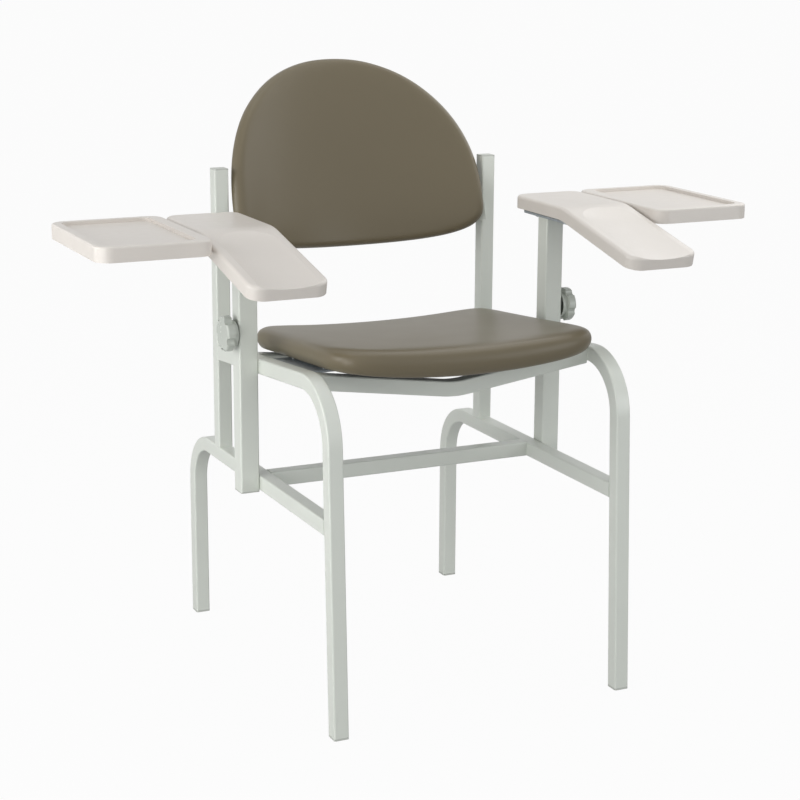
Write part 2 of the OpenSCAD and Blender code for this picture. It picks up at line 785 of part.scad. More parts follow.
module arm_pad(side) {
    front_length = pad_front_straight + pad_corner;
    reach = front_length * dish_length_share;
    color(arm_plastic) on_side(side) translate([0, y0, 0]) difference() {
        union() {
            difference() {
                pad_body(0, 0, 0, pad_round);
                pad_body(pad_wall, pad_skin, pad_skin + pad_dish, pad_round / 2);
            }
            for (p = concat(plate_holes, pad_leaf_holes)) translate([p[0], p[1], plate_height])
                cylinder(r = pad_boss_r, h = pad_top - pad_skin / 2 - plate_height);
        }
        for (p = concat(plate_holes, pad_leaf_holes)) translate([p[0], p[1], plate_height - overrun])
            cylinder(r = arm_screw_r + arm_screw_gap, h = arm_screw_bite + overrun);
        translate([pad_inner + pad_width / 2, pad_bend + pad_bend_reach, pad_top - pad_bend_r])
            rotate([pad_slope, 0, 0]) translate([0, reach - front_length, pad_bend_r + dish_r - pad_dish])
                rotate([90, 0, 0]) rotate_extrude($fn = 180) scoop_section(reach + overrun);
    }
}

module arm_screws(side) {
    bite = arm_screw_bite - arm_hole_gap;
    color(steel) on_side(side) {
        for (p = plate_holes) translate([p[0], y0 + p[1], plate_bottom - washer_h]) {
            pan_screw(arm_screw_r, arm_head_r, arm_head_h, washer_h + plate_thickness + bite);
            cylinder(r = washer_r, h = washer_h);
        }
        for (p = pad_leaf_holes) translate([p[0], y0 + p[1], plate_height - leaf_thickness])
            pan_screw(arm_screw_r, arm_head_r, arm_head_h, leaf_thickness + bite);
    }
}

// One leaf of the hinge, lying towards -X from the pin; its knuckles are the even or odd ones
module hinge_leaf(first, holes) {
    pitch = leaf_length / knuckle_count;
    difference() {
        union() {
            translate([-leaf_width, 0, knuckle_r - leaf_thickness])
                cube([leaf_width - knuckle_r - knuckle_gap, leaf_length, leaf_thickness]);
            for (k = [first : 2 : knuckle_count - 1]) translate([0, k * pitch + knuckle_gap / 2, 0]) {
                rotate([-90, 0, 0]) cylinder(r = knuckle_r, h = pitch - knuckle_gap);
                translate([-knuckle_r - overrun, 0, knuckle_r - leaf_thickness])
                    cube([knuckle_r + overrun, pitch - knuckle_gap, leaf_thickness]);
            }
        }
        translate([0, -overrun, 0]) rotate([-90, 0, 0])
            cylinder(r = pin_r + pin_gap, h = leaf_length + 2 * overrun);
        for (y = holes) translate([leaf_hole_inset - leaf_width, y, 0])
            cylinder(r = arm_screw_r + arm_hole_gap, h = knuckle_r + overrun);
    }
}

module pad_hinge_leaf(side) {
    color(steel) on_side(side) translate([hinge_x, y0 + leaf_y, hinge_z]) hinge_leaf(0, leaf_rows);
}

module tray_hinge_leaf(side) {
    color(steel) on_side(side) translate([hinge_x, y0 + leaf_y, hinge_z])
        mirror([1, 0, 0]) hinge_leaf(1, leaf_rows);
}

module hinge_pin(side) {
    color(steel) on_side(side) translate([hinge_x, y0 + leaf_y, hinge_z]) rotate([-90, 0, 0]) {
        cylinder(r = pin_r, h = leaf_length);
        translate([0, 0, -pin_head_h]) cylinder(r = pin_head_r, h = pin_head_h);
        translate([0, 0, leaf_length]) cylinder(r = pin_head_r, h = pin_head_h);
    }
}

module tray(side) {
    hollow = tray_edge - tray_recess - tray_skin;
    color(arm_plastic) on_side(side) translate([tray_x, y0 + tray_front, plate_height]) difference() {
        union() {
            difference() {
                flat_moulding(tray_width, tray_length, tray_edge, tray_corner, tray_round);
                translate([tray_hinge_rim, tray_rim, tray_edge - tray_recess])
                    linear_extrude(tray_recess + overrun)
                        rounded_square(tray_width - tray_hinge_rim - tray_rim,
                            tray_length - 2 * tray_rim, tray_recess_corner);
                translate([tray_wall, tray_wall, -overrun])
                    linear_extrude(hollow + overrun) rounded_square(
                        tray_width - 2 * tray_wall, tray_length - 2 * tray_wall, tray_corner - tray_wall);
            }
            for (p = tray_leaf_holes) translate([p[0] - tray_x, p[1] - tray_front, 0])
                cylinder(r = tray_boss_r, h = hollow + tray_skin / 2);
        }
        for (p = tray_leaf_holes) translate([p[0] - tray_x, p[1] - tray_front, -overrun])
            cylinder(r = arm_screw_r + arm_screw_gap, h = arm_screw_bite + overrun);
    }
}

module tray_screws(side) {
    color(steel) on_side(side)
        for (p = tray_leaf_holes) translate([p[0], y0 + p[1], plate_height - leaf_thickness])
            pan_screw(arm_screw_r, arm_head_r, arm_head_h, leaf_thickness + arm_screw_bite - arm_hole_gap);
}

// Clamp, along +X from the sleeve's outer face

module at_clamp(side) {
    on_side(side) translate([knob_x, y0 + knob_y, knob_height]) rotate([0, 90, 0]) children();
}

module clamp_nut(side) {
    color(steel) at_clamp(side) difference() {
        cylinder(r = nut_r, h = nut_height);
        translate([0, 0, -overrun]) cylinder(r = screw_diameter / 2 + nut_gap, h = nut_height + 2 * overrun);
    }
}

module clamp_knob(side) {
    head_z = knob_clear + knob_skirt_height;
    rim = knob_diameter / 2;
    color(frame_paint) at_clamp(side) difference() {
        union() {
            translate([0, 0, knob_clear]) cylinder(r = knob_skirt_r, h = knob_skirt_height);
            translate([0, 0, head_z]) rotate_extrude() {
                square([rim, knob_head - knob_crown]);
                square([rim - knob_crown, knob_head]);
                translate([rim - knob_crown, knob_head - knob_crown]) circle(knob_crown);
            }
        }
        for (k = [0 : knob_notches - 1]) rotate(k * 360 / knob_notches)
            translate([rim + knob_notch_out, 0, head_z - overrun])
                cylinder(r = knob_notch_r, h = knob_head + 2 * overrun);
        difference() {
            translate([0, 0, -overrun])
                cylinder(r = knob_skirt_r - knob_skirt_wall, h = head_z + knob_web + overrun);
            translate([0, 0, nut_height + knob_hub_clear]) cylinder(r = knob_hub_r, h = head_z + knob_head);
        }
        translate([0, 0, -overrun]) cylinder(
            r = screw_diameter / 2 + nut_gap, h = overrun + nut_height + knob_hub_clear + screw_depth);
    }
}

module clamp_screw(side) {
    start = tip_reach - tip_height;
    color(steel) at_clamp(side) translate([0, 0, -start])
        cylinder(r = screw_diameter / 2, h = start + nut_height + knob_hub_clear + screw_depth);
}

module clamp_tip(side) {
    color(board_black) at_clamp(side) translate([0, 0, -tip_reach]) cylinder(r = tip_r, h = tip_height);
}

front_leg(left);  // left_front_leg
front_leg(right);  // right_front_leg
rear_leg(left);  // left_rear_leg
rear_leg(right);  // right_rear_leg
back_upright(left);  // left_back_upright
back_upright(right);  // right_back_upright
upright_cap(left);  // left_upright_cap
upright_cap(right);  // right_upright_cap
front_foot(left);  // left_front_foot
front_foot(right);  // right_front_foot
rear_foot(left);  // left_rear_foot
rear_foot(right);  // right_rear_foot
cross_stretcher();
dipped_rail(front_rail_setback, front_rail_dip);  // front_seat_rail
dipped_rail(rear_rail_setback, rear_rail_dip);  // rear_seat_rail
seat_plate(left);  // left_seat_plate
seat_plate(right);  // right_seat_plate
seat_board();
seat_cushion();
seat_screws();
back_strap();
back_board();
back_cushion();
back_screws();
arm_sleeve(left);  // left_arm_sleeve
arm_sleeve(right);  // right_arm_sleeve
sleeve_plug(left);  // left_sleeve_plug
sleeve_plug(right);  // right_sleeve_plug
clamp_nut(left);  // left_clamp_nut
clamp_nut(right);  // right_clamp_nut
arm_post(left);  // left_arm_post
arm_post(right);  // right_arm_post
arm_plate(left);  // left_arm_plate
arm_plate(right);  // right_arm_plate
arm_pad(left);  // left_arm_pad
arm_pad(right);  // right_arm_pad
arm_screws(left);  // left_arm_screws
arm_screws(right);  // right_arm_screws
pad_hinge_leaf(left);  // left_pad_hinge_leaf
pad_hinge_leaf(right);  // right_pad_hinge_leaf
hinge_pin(left);  // left_hinge_pin
hinge_pin(right);  // right_hinge_pin
tray_hinge_leaf(left);  // left_tray_hinge_leaf
tray_hinge_leaf(right);  // right_tray_hinge_leaf
tray(left);  // left_tray
tray(right);  // right_tray
tray_screws(left);  // left_tray_screws
tray_screws(right);  // right_tray_screws
clamp_knob(left);  // left_clamp_knob
clamp_knob(right);  // right_clamp_knob
clamp_screw(left);  // left_clamp_screw
clamp_screw(right);  // right_clamp_screw
clamp_tip(left);  // left_clamp_tip
clamp_tip(right);  // right_clamp_tip
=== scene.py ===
import json
import math

import bmesh
import bpy
from mathutils import Matrix, Vector


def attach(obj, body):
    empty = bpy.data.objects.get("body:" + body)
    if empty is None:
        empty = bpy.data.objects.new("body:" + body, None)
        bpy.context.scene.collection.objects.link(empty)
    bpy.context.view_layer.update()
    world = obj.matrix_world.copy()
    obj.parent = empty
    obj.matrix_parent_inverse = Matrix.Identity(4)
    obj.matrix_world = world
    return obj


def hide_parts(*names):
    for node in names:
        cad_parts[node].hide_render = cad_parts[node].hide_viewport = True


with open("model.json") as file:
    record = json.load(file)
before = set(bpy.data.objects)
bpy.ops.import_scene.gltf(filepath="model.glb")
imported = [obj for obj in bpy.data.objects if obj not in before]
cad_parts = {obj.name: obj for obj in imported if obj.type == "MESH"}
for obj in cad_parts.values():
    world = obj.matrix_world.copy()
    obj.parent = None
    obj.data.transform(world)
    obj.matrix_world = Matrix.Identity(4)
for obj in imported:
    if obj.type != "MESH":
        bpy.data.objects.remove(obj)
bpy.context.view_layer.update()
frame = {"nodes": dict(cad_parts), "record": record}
TINY = 1e-12


# Small helpers

def new_object(name, verts, faces):
    mesh = bpy.data.meshes.new(name)
    mesh.from_pydata([tuple(v) for v in verts], [], faces)
    mesh.validate()
    mesh.update()
    obj = bpy.data.objects.new(name, mesh)
    bpy.context.scene.collection.objects.link(obj)
    return obj


def shade_smooth(obj):
    obj.data.polygons.foreach_set("use_smooth", [True] * len(obj.data.polygons))


def apply_modifiers(obj):
    graph = bpy.context.evaluated_depsgraph_get()
    mesh = bpy.data.meshes.new_from_object(obj.evaluated_get(graph), depsgraph=graph)
    obj.modifiers.clear()
    obj.data = mesh


def set_material(obj, mat):
    obj.data.materials.clear()
    obj.data.materials.append(mat)


# Materials. Scales are per metre, and bump distances are in metres.

SRGB_WHITE, SRGB_KNEE = 255, 0.04045
NOISE_LOW, NOISE_HIGH = 0.35, 0.65     # most of a noise lies between these


class Nodes:
    """A material under construction: makes nodes and links them by name."""

    def __init__(self, name):
        self.mat = bpy.data.materials.new(name)
        self.mat.use_nodes = True
        self.tree = self.mat.node_tree
        self.bsdf = self.tree.nodes["Principled BSDF"]
        self.coord = self.add("ShaderNodeTexCoord")

    def add(self, kind, **values):
        node = self.tree.nodes.new(kind)
        for key, value in values.items():
            setattr(node, key, value)
        return node

    def link(self, out, into):
        self.tree.links.new(out, into)

    def place(self, stretch=None):
        """The object's own coordinates, stretched along its axes if asked."""
        if stretch is None:
            return self.coord.outputs["Object"]
        node = self.add("ShaderNodeMapping")
        node.inputs["Scale"].default_value = stretch
        self.link(self.coord.outputs["Object"], node.inputs["Vector"])
        return node.outputs["Vector"]

    def noise(self, scale, detail=3.0, roughness=0.55, stretch=None):
        node = self.add("ShaderNodeTexNoise")
        node.inputs["Scale"].default_value = scale
        node.inputs["Detail"].default_value = detail
        node.inputs["Roughness"].default_value = roughness
        self.link(self.place(stretch), node.inputs["Vector"])
        return node.outputs["Fac"]

    def cells(self, scale):
        node = self.add("ShaderNodeTexVoronoi", feature="F1")
        node.inputs["Scale"].default_value = scale
        self.link(self.place(), node.inputs["Vector"])
        return node.outputs["Distance"]

    def between(self, value, low, high, from_low=NOISE_LOW, from_high=NOISE_HIGH):
        """Spreads a pattern's value over low to high."""
        node = self.add("ShaderNodeMapRange")
        node.inputs["From Min"].default_value = from_low
        node.inputs["From Max"].default_value = from_high
        node.inputs["To Min"].default_value = low
        node.inputs["To Max"].default_value = high
        self.link(value, node.inputs["Value"])
        return node.outputs["Result"]

    def mix(self, fac, a, b):
        """Mixes two colours; b may be a node's output."""
        node = self.add("ShaderNodeMix", data_type="RGBA")
        fac_socket, a_socket, b_socket = node.inputs[0], node.inputs[6], node.inputs[7]
        for socket, value in ((a_socket, a), (b_socket, b)):
            if isinstance(value, tuple):
                socket.default_value = (*value, 1)
            else:
                self.link(value, socket)
        self.link(fac, fac_socket)
        return node.outputs[2]

    def tint(self, pattern, a, b, **limits):
        return self.mix(self.between(pattern, 0.0, 1.0, **limits), a, b)

    def bump(self, height, strength, distance, before=None):
        node = self.add("ShaderNodeBump")
        node.inputs["Strength"].default_value = strength
        node.inputs["Distance"].default_value = distance
        self.link(height, node.inputs["Height"])
        if before is not None:
            self.link(before, node.inputs["Normal"])
        return node.outputs["Normal"]

    def finish(self, **values):
        """Sets the shader's sockets, each from a node's output or a plain number."""
        for name, value in values.items():
            socket = self.bsdf.inputs[name.replace("_", " ")]
            if isinstance(value, bpy.types.NodeSocket):
                self.link(value, socket)
            else:
                socket.default_value = value
        return self.mat


def linear(r, g, b):
    """An sRGB colour in 0..255 as linear values."""
    shares = [c / SRGB_WHITE for c in (r, g, b)]
    return tuple(((s + 0.055) / 1.055) ** 2.4 if s > SRGB_KNEE else s / 12.92 for s in shares)


def scaled(colour, share):
    return tuple(c * share for c in colour)


def powder_coat(name, colour):
    """Paint with a fine orange peel over a slight wave, and a little uneven in colour."""
    n = Nodes(name)
    tint = n.tint(n.noise(scale=6.0), colour, scaled(colour, 0.965))
    peel = n.bump(n.noise(scale=900.0, detail=2.0), strength=0.10, distance=0.0004)
    wave = n.bump(n.noise(scale=120.0, detail=2.0), strength=0.05, distance=0.0010, before=peel)
    return n.finish(Base_Color=tint, Normal=wave,
                    Roughness=n.between(n.noise(scale=40.0), low=0.30, high=0.38),
                    Specular_IOR_Level=0.6, Coat_Weight=0.25, Coat_Roughness=0.2)


def vinyl(name, colour):
    """Vinyl with a fine grain in colour and bump, and mottled slightly over some 10 cm."""
    n = Nodes(name)
    mottle = n.tint(n.noise(scale=7.0), colour, scaled(colour, 0.975))
    tint = n.tint(n.noise(scale=1700.0, detail=2.0), scaled(colour, 0.96), mottle)
    grain = n.bump(n.noise(scale=1300.0, roughness=0.6), strength=0.035, distance=0.0002)
    return n.finish(Base_Color=tint, Normal=grain,
                    Roughness=n.between(n.noise(scale=12.0), low=0.31, high=0.33),
                    Specular_IOR_Level=0.3, Sheen_Weight=0.03, Sheen_Roughness=0.4)


def moulded(name, colour, rough=0.34, texture=0.05):
    """Moulded plastic with a spark-eroded texture and faint flow marks."""
    n = Nodes(name)
    tint = n.tint(n.noise(scale=5.0), colour, scaled(colour, 0.97))
    spark = n.bump(n.noise(scale=1800.0, detail=2.0), strength=texture, distance=0.0003)
    flow = n.bump(n.noise(scale=35.0, detail=2.0, roughness=0.4),
                  strength=0.02, distance=0.002, before=spark)
    return n.finish(Base_Color=tint, Normal=flow,
                    Roughness=n.between(n.noise(scale=80.0), low=rough - 0.03, high=rough + 0.04),
                    Specular_IOR_Level=0.5, Coat_Weight=0.1, Coat_Roughness=0.2)


def zinc(name, colour, rough=0.34, metallic=1.0):
    """Zinc plating with its crystals in the colour and a brushed grain along Y."""
    n = Nodes(name)
    tint = n.tint(n.cells(scale=140.0), colour, scaled(colour, 0.86), from_low=0.2, from_high=0.9)
    brushed = n.bump(n.noise(scale=500.0, detail=2.0, stretch=(1.0, 0.06, 1.0)),
                     strength=0.10, distance=0.0003)
    return n.finish(Base_Color=tint, Metallic=metallic, Normal=brushed,
                    Roughness=n.between(n.noise(scale=200.0), low=rough - 0.05, high=rough + 0.08))


def stained_ply(name, colour):
    """Stained plywood, its grain drawn out along Y, and less so along Z."""
    n = Nodes(name)
    grain = n.noise(scale=90.0, detail=6.0, roughness=0.65, stretch=(1.0, 0.05, 0.3))
    return n.finish(Base_Color=n.tint(grain, colour, scaled(colour, 1.9)),
                    Roughness=n.between(grain, low=0.45, high=0.65),
                    Normal=n.bump(grain, strength=0.2, distance=0.0006), Specular_IOR_Level=0.4)


# By the record's material slots
MATERIALS = {
    "frame_paint": powder_coat("frame_paint", linear(222, 226, 218)),
    "upholstery": vinyl("upholstery_vinyl", linear(114, 105, 85)),
    "arm_plastic": moulded("arm_plastic", linear(221, 215, 208)),
    "knob_grey": moulded("knob_grey", linear(196, 201, 193), rough=0.24, texture=0.03),
    "plate_steel": zinc("plate_steel", linear(176, 184, 190), rough=0.38, metallic=0.35),
    "hardware": zinc("hardware_zinc", linear(186, 190, 190)),
    "board": stained_ply("board_stained_ply", linear(38, 36, 34)),
    "grey_plug": moulded("grey_plug", linear(196, 199, 192), rough=0.45, texture=0.08),
    "tip_nylon": moulded("tip_nylon", linear(40, 40, 40), rough=0.5, texture=0.08),
}
SLOT_OF = {row["node"]: row["material_slot"] for row in frame["record"]["subparts"]}
SHARP_ANGLE = math.radians(30)


def dress_cad():
    """Gives every CAD node its procedural material and smooth shading up to its real edges."""
    for name, obj in frame["nodes"].items():
        set_material(obj, MATERIALS[SLOT_OF[name]])
        shade_smooth(obj)
        obj.data.set_sharp_from_angle(angle=SHARP_ANGLE)


dress_cad()


# Cushions. The outlines follow part.scad, in metres.

FRAME_DEPTH = 0.587
FRONT_Y = -FRAME_DEPTH / 2

SEAT_FRONT, SEAT_REAR = 0.032, 0.4095                   # behind the front feet
SEAT_FRONT_WIDTH, SEAT_REAR_WIDTH = 0.4145, 0.3955
SEAT_BOW = 0.010                                        # of the corners behind the front edge's middle
SEAT_FRONT_POWER, SEAT_REAR_POWER = 7.5, 12.0           # of the outline's superellipses
SEAT_LIFT = 0.004                                       # over the side rails
SEAT_THICK = 0.0305                                     # at its sides
SEAT_SAG, SEAT_DISH = 0.019, 0.0095                     # hollow of the underside, of the top
SEAT_ROLL = 0.022                                       # width of the rolled edge
SEAT_BOARD = 0.010                                      # thickness
SEAT_RIM = 0.003                                        # a ring's height in the recess's wall
RAIL_HEIGHT = 0.5035                                    # over the front feet
RAIL_SLOPE = math.radians(4.9)

BACK_WIDTH = 0.423                                      # before it is bent
BACK_Z = 0.653                                          # of the outline's widest place
BACK_RISE, BACK_FALL = 0.232, 0.0615                    # of the outline over and under it
BACK_UPPER_POWER, BACK_LOWER_POWER = 2.13, 4.5
BACK_RADIUS = 0.3505                                    # of the wrap, seen from above
BACK_SETBACK = 0.509                                    # of its rear face, at its middle
BACK_LEAN = math.radians(15.7)
BACK_THICK = 0.024
BACK_ROLL = 0.010                                       # as the seat's
BACK_BOARD = 0.006                                      # thickness
BACK_RIM = 0.002                                        # as the seat's
BACK_HEM = 0.003                                        # flat ring round the recess
BACK_CROWN = 0.001

BOARD_INSET = 0.012                                     # from a cushion's outline to its board
BOARD_GAP = 0.0003                                      # between a board and its recess
RECESS_LAP = 0.012                                      # width of the floor's ring next to the wall

# The cushions' sides, from the underside over the roll to the top: the share of the roll that
# a ring is set in by, and the share of the thickness that it lies at
SEAT_SIDE = [(0.40, 0.0), (0.30, 0.05), (0.22, 0.12), (0.14, 0.19), (0.09, 0.26), (0.05, 0.34),
             (0.03, 0.42), (0.03, 0.56), (0.10, 0.70), (0.16, 0.76), (0.24, 0.82), (0.34, 0.87),
             (0.44, 0.91), (0.56, 0.945), (0.70, 0.97), (0.85, 0.988), (1.0, 1.0), (1.35, 1.01)]
BACK_SIDE = [(0.46, 0.05), (0.26, 0.12), (0.10, 0.22), (0.02, 0.34), (0.0, 0.47), (0.01, 0.58),
             (0.05, 0.68), (0.14, 0.79), (0.28, 0.87), (0.48, 0.94), (0.74, 0.98), (1.05, 1.0),
             (1.6, 1.005)]

CORNERS = [math.radians(a) for a in (225, 315, 405, 495)]
SIDE_POINTS = 48         # on each of an outline's four sides
OUTLINE_STEPS = 800      # of the fine outline that the points are taken from
CROWN_POWER = 4

CLOTH_FRAMES = 20
CLOTH_PRESSURE = 4.0
CLOTH_STIFFNESS, CLOTH_SHEAR, CLOTH_BENDING = 18, 6, 0.6
CLOTH_MASS = 0.3
CLOTH_QUALITY = 6
SWELL_CAP = 0.0012
SMOOTH_STEPS = 4


def superellipse(t, power):
    """The point of a unit superellipse in the direction t."""
    r = (abs(math.cos(t)) ** power + abs(math.sin(t)) ** power) ** (-1 / power)
    return r * math.cos(t), r * math.sin(t)


def seat_edge(t):
    """The seat's outline from above, its front edge bowed."""
    sx, sy = superellipse(t, SEAT_REAR_POWER if math.sin(t) > 0 else SEAT_FRONT_POWER)
    half = (SEAT_FRONT_WIDTH * (1 - sy) + SEAT_REAR_WIDTH * (1 + sy)) / 4
    y = (SEAT_FRONT + SEAT_REAR) / 2 + (SEAT_REAR - SEAT_FRONT) / 2 * sy
    return Vector((half * sx, y + SEAT_BOW * sx * sx * max(0, -sy)))


def seat_place(p, w):
    """A point of the seat: p is seen from above, and w is its height over the side rails."""
    across = min(1, (2 * p.x / SEAT_FRONT_WIDTH) ** 2)
    share = min(1, max(0, (w - SEAT_LIFT) / SEAT_THICK))
    hollow = (SEAT_SAG + (SEAT_DISH - SEAT_SAG) * share) * (1 - across)
    return Vector((p.x, FRONT_Y + p.y, RAIL_HEIGHT - p.y * math.tan(RAIL_SLOPE) + w - hollow))


def seat_drawn_in(points, distance):
    """Moves each point of the seat's outline towards the seat's middle."""
    middle = Vector((0, (SEAT_FRONT + SEAT_REAR) / 2))
    return [p + (middle - p).normalized() * distance for p in points]


def back_edge(t):
    """The back's outline, unrolled: a tall arch over a flatter lower edge."""
    upper = math.sin(t) > 0
    sx, sy = superellipse(t, BACK_UPPER_POWER if upper else BACK_LOWER_POWER)
    return Vector((BACK_WIDTH / 2 * sx, (BACK_RISE if upper else BACK_FALL) * sy))


BACK_FRAME = (Matrix.Translation((0, FRONT_Y + BACK_SETBACK, BACK_Z))
              @ Matrix.Rotation(-BACK_LEAN, 4, "X"))


def back_place(p, w):
    """A point of the back: p is on the unrolled outline and w is the height over the board."""
    share = p.x / BACK_RADIUS
    r = BACK_RADIUS - w
    return BACK_FRAME @ Vector((r * share, r * math.sqrt(1 - share * share) - BACK_RADIUS, p.y))


def back_drawn_in(points, distance):
    """Moves each point of the back's outline inwards along the outline's own normal."""
    result = []
    for i, p in enumerate(points):
        along = (points[(i + 1) % len(points)] - points[i - 1]).normalized()
        result.append(p + Vector((-along.y, along.x)) * distance)
    return result


def even_outline(edge):
    """The outline as four sides of evenly spaced points, cut at the four corner parameters."""
    points = []
    for a, b in zip(CORNERS, CORNERS[1:] + [CORNERS[0] + 2 * math.pi]):
        fine = [edge(a + (b - a) * i / OUTLINE_STEPS) for i in range(OUTLINE_STEPS + 1)]
        run = [0.0]
        for p, q in zip(fine, fine[1:]):
            run.append(run[-1] + (q - p).length)
        k = 0
        for i in range(SIDE_POINTS):
            goal = run[-1] * i / SIDE_POINTS
            while run[k + 1] < goal:
                k += 1
            f = (goal - run[k]) / max(TINY, run[k + 1] - run[k])
            points.append(fine[k].lerp(fine[k + 1], f))
    return points


def coons(ring):
    """Fills a ring of four equal sides with a grid; returns its points as [row][column]."""
    side, count = SIDE_POINTS, 4 * SIDE_POINTS
    low = [ring[i] for i in range(side + 1)]
    right = [ring[side + i] for i in range(side + 1)]
    high = [ring[(3 * side - i) % count] for i in range(side + 1)]
    left = [ring[(4 * side - i) % count] for i in range(side + 1)]
    grid = []
    for j in range(side + 1):
        v = j / side
        row = []
        for i in range(side + 1):
            u = i / side
            row.append((1 - v) * low[i] + v * high[i] + (1 - u) * left[j] + u * right[j]
                       - (1 - u) * (1 - v) * low[0] - u * (1 - v) * low[side]
                       - u * v * high[side] - (1 - u) * v * high[0])
        grid.append(row)
    return grid


def cushion_mesh(name, edge, place, drawn_in, profile, crown):
    """A closed cushion. profile lists (inset, height, pinned) from the recess outwards and over
    the side; its first and last rings are filled with grids, the last one raised by crown."""
    outline = even_outline(edge)
    verts, faces, pinned = [], [], set()
    side, count = SIDE_POINTS, 4 * SIDE_POINTS

    def fill(ring, base, height, lift, flip):
        grid = coons(ring)
        index = {}
        for j in range(side + 1):
            for i in range(side + 1):
                if j == 0:
                    index[i, j] = base + i
                elif i == side:
                    index[i, j] = base + side + j
                elif j == side:
                    index[i, j] = base + (3 * side - i) % count
                elif i == 0:
                    index[i, j] = base + (4 * side - j) % count
                else:
                    u, v = 2 * i / side - 1, 2 * j / side - 1
                    rise = lift * (1 - u ** CROWN_POWER) * (1 - v ** CROWN_POWER)
                    index[i, j] = len(verts)
                    verts.append(place(grid[j][i], height + rise))
        for j in range(side):
            for i in range(side):
                quad = [index[i, j], index[i + 1, j], index[i + 1, j + 1], index[i, j + 1]]
                faces.append(quad[::-1] if flip else quad)

    rings = []
    for inset, height, pin in profile:
        ring = drawn_in(outline, inset)
        base = len(verts)
        verts.extend(place(p, height) for p in ring)
        if pin:
            pinned.update(range(base, base + count))
        rings.append((ring, base, height))
    for (_, a, _), (_, b, _) in zip(rings, rings[1:]):
        for i in range(count):
            j = (i + 1) % count
            faces.append([a + i, a + j, b + j, b + i])
    inner_start = len(verts)
    fill(*rings[0], 0.0, True)
    pinned.update(range(inner_start, len(verts)))
    fill(*rings[-1], crown, False)
    obj = new_object(name, verts, faces)
    group = obj.vertex_groups.new(name="pin")
    group.add(sorted(pinned), 1.0, "REPLACE")
    bm = bmesh.new()
    bm.from_mesh(obj.data)
    bmesh.ops.recalc_face_normals(bm, faces=bm.faces)
    bm.to_mesh(obj.data)
    bm.free()
    return obj


def inflate(obj):
    """Swells a cushion with a short cloth run: no point moves further than the cap, or inwards."""
    start = [(v.co.copy(), v.normal.copy()) for v in obj.data.vertices]
    cloth = obj.modifiers.new("cloth", "CLOTH")
    s = cloth.settings
    s.quality = CLOTH_QUALITY
    s.mass = CLOTH_MASS
    s.tension_stiffness = s.compression_stiffness = CLOTH_STIFFNESS
    s.shear_stiffness = CLOTH_SHEAR
    s.bending_stiffness = CLOTH_BENDING
    s.use_pressure = True
    s.uniform_pressure_force = CLOTH_PRESSURE
    s.vertex_group_mass = "pin"
    s.effector_weights.gravity = 0
    cloth.collision_settings.use_collision = False
    cloth.point_cache.frame_start = 1
    cloth.point_cache.frame_end = CLOTH_FRAMES
    scene = bpy.context.scene
    for f in range(1, CLOTH_FRAMES + 1):
        scene.frame_set(f)
    apply_modifiers(obj)
    scene.frame_set(1)
    for v, (place, normal) in zip(obj.data.vertices, start):
        move = v.co - place
        move -= normal * min(0, move.dot(normal))
        v.co = place + move * min(1, SWELL_CAP / max(TINY, move.length))


def finish_cushion(obj, node):
    """Swells, smooths and dresses a cushion's mesh, which then stands for its CAD node."""
    inflate(obj)
    smooth = obj.modifiers.new("smooth", "CORRECTIVE_SMOOTH")
    smooth.iterations = SMOOTH_STEPS
    smooth.use_only_smooth = True
    smooth.vertex_group = "pin"
    smooth.invert_vertex_group = True
    sub = obj.modifiers.new("sub", "SUBSURF")
    sub.levels = sub.render_levels = 1
    apply_modifiers(obj)
    shade_smooth(obj)
    set_material(obj, MATERIALS["upholstery"])
    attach(obj, "frame")
    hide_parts(node)


def make_seat():
    recess = SEAT_LIFT + SEAT_BOARD + BOARD_GAP
    inset = BOARD_INSET - BOARD_GAP
    profile = [(inset + RECESS_LAP, recess, True), (inset, recess, True),
               (inset, SEAT_LIFT + SEAT_RIM, True), (inset, SEAT_LIFT, True)]
    profile += [(SEAT_ROLL * a, SEAT_LIFT + SEAT_THICK * b, False) for a, b in SEAT_SIDE]
    seat = cushion_mesh("seat_pad", seat_edge, seat_place, seat_drawn_in, profile, 0.0)
    finish_cushion(seat, "seat_cushion")


def make_back():
    recess = BACK_BOARD + BOARD_GAP
    inset = BOARD_INSET - BOARD_GAP
    profile = [(inset + RECESS_LAP, recess, True), (inset, recess, True),
               (inset, BACK_RIM, True), (inset, 0.0, True), (inset - BACK_HEM, 0.0, True)]
    profile += [(BACK_ROLL * a, BACK_THICK * b, False) for a, b in BACK_SIDE]
    back = cushion_mesh("back_pad", back_edge, back_place, back_drawn_in, profile, BACK_CROWN)
    finish_cushion(back, "back_cushion")


make_seat()
make_back()


# Studio. Lengths are in metres, lights in watts.

CAMERA_PLACE = Vector((-1.223523, -2.613086, 1.104066))
CAMERA_YAW, CAMERA_DIP, CAMERA_ROLL = (math.radians(a) for a in (25.0861, 13.8597, 0.296))
CAMERA_LENS, CAMERA_SENSOR = 89.204, 36.0
CAMERA_NEAR, CAMERA_FAR = 0.1, 60

WHITE = (1, 1, 1)
FLOOR_HALF = 40.0
FLOOR_ALBEDO, FLOOR_ROUGHNESS = 0.42, 0.9
WORLD_COLOUR = (0.985, 0.995, 1.0)
WORLD_FRONT, WORLD_TOP = -0.82, 0.43     # strength along Y, where the front is -Y, and along Z

# How far the floor and the world show plain white: to the camera, and to gloss and glass
FLOOR_WHITE_SHARE, FLOOR_MIRROR_SHARE = 0.96, 0.30
WORLD_WHITE_SHARE, WORLD_MIRROR_SHARE = 0.975, 0.72

LIGHT_TARGET = Vector((0, 0, 0.5))
